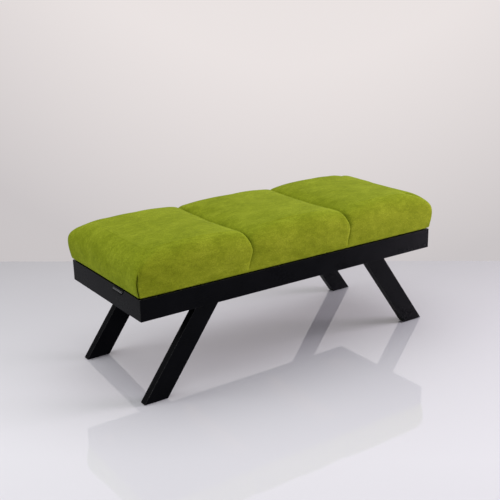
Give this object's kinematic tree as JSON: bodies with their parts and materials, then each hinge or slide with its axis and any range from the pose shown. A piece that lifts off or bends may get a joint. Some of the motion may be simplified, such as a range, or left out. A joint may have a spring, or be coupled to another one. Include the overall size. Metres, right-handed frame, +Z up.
{
  "type": "upholstered bench",
  "caption": "Low bench with a padded green seat sewn in sections, on a black mitred frame with splayed flat legs.",
  "frame": {"origin": "on the floor, under the middle of the bench", "axes": "+X along the bench towards its right end, +Y from its front to its back, +Z up"},
  "size_m": [1.214, 0.499, 0.497],
  "materials": {
    "black_lacquer": "satin black lacquer",
    "raw_wood": "planed, unfinished beech",
    "zinc_steel": "bright zinc plate",
    "glide_plastic": "moulded, matt",
    "plywood": "sanded birch plywood",
    "seat_foam": "open-cell polyurethane foam",
    "seat_wadding": "polyester wadding",
    "green_velvet": "short-napped micro-suede upholstery cloth",
    "woven_tape": "woven black tape",
    "dust_cloth": "spun-bonded black cloth"
  },
  "bodies": {
    "root": {"front_rail": "black_lacquer", "back_rail": "black_lacquer", "left_end_rail": "black_lacquer", "right_end_rail": "black_lacquer", "left_cross_rail": "raw_wood", "right_cross_rail": "raw_wood", "cross_rail_dowels": "raw_wood", "front_left_corner_block": "raw_wood", "front_right_corner_block": "raw_wood", "back_left_corner_block": "raw_wood", "back_right_corner_block": "raw_wood", "corner_block_screws": "zinc_steel", "front_left_leg": "black_lacquer", "front_right_leg": "black_lacquer", "back_left_leg": "black_lacquer", "back_right_leg": "black_lacquer", "leg_bolts": "zinc_steel", "leg_washers": "zinc_steel", "leg_inserts": "zinc_steel", "front_left_glide": "glide_plastic", "front_right_glide": "glide_plastic", "back_left_glide": "glide_plastic", "back_right_glide": "glide_plastic", "glide_nails": "zinc_steel", "seat_board": "plywood", "seat_screws": "zinc_steel", "left_foam": "seat_foam", "centre_foam": "seat_foam", "right_foam": "seat_foam", "left_wadding": "seat_wadding", "centre_wadding": "seat_wadding", "right_wadding": "seat_wadding", "left_cover": "green_velvet", "centre_cover": "green_velvet", "right_cover": "green_velvet", "left_seam_tie": "woven_tape", "right_seam_tie": "woven_tape", "dust_cover": "dust_cloth", "staples": "zinc_steel", "side_tag": "woven_tape"}
  },
  "joints": []
}
